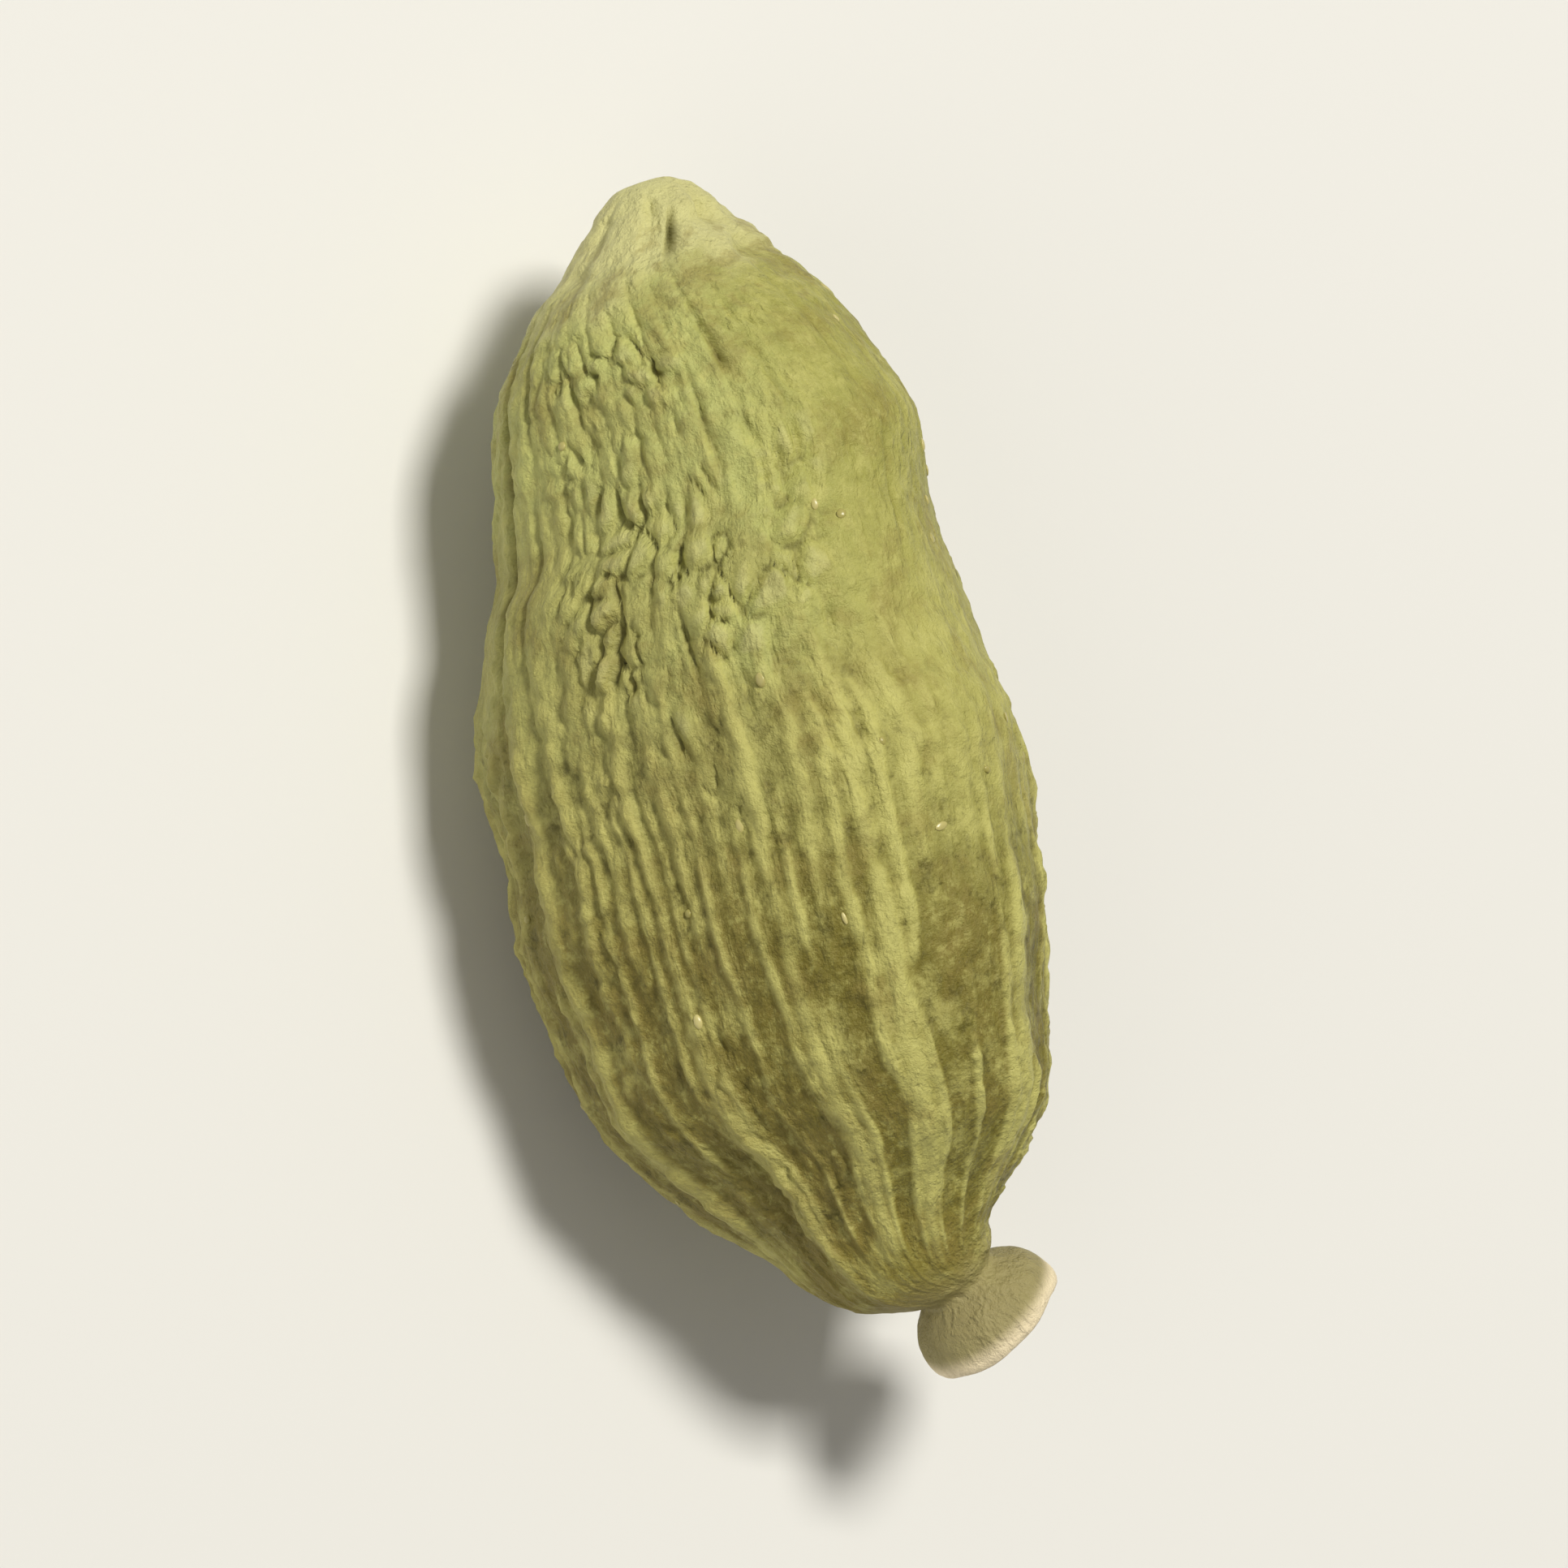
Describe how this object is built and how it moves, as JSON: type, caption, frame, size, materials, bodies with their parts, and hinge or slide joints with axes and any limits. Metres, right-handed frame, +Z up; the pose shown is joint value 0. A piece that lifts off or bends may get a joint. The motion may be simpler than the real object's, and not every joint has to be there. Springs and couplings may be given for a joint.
{
  "type": "green cardamom pod",
  "caption": "Dried green cardamom pod: a closed, ribbed, three-sided capsule with a blunt puckered nub at one end and a short neck with a flared hollow collar at the other.",
  "frame": {"origin": "on the resting plane, under the middle of the pod's bounding box", "axes": "+X along the pod from the blunt nub to the collar, +Z up with the pod lying on one of its three sides, +Y towards the side that the ends curve to"},
  "size_m": [0.018, 0.008, 0.0074],
  "materials": {
    "husk": "dry plant husk, matte to soft satin, olive green with pale straw ends"
  },
  "bodies": {
    "root": {"pod": "husk"}
  },
  "joints": []
}
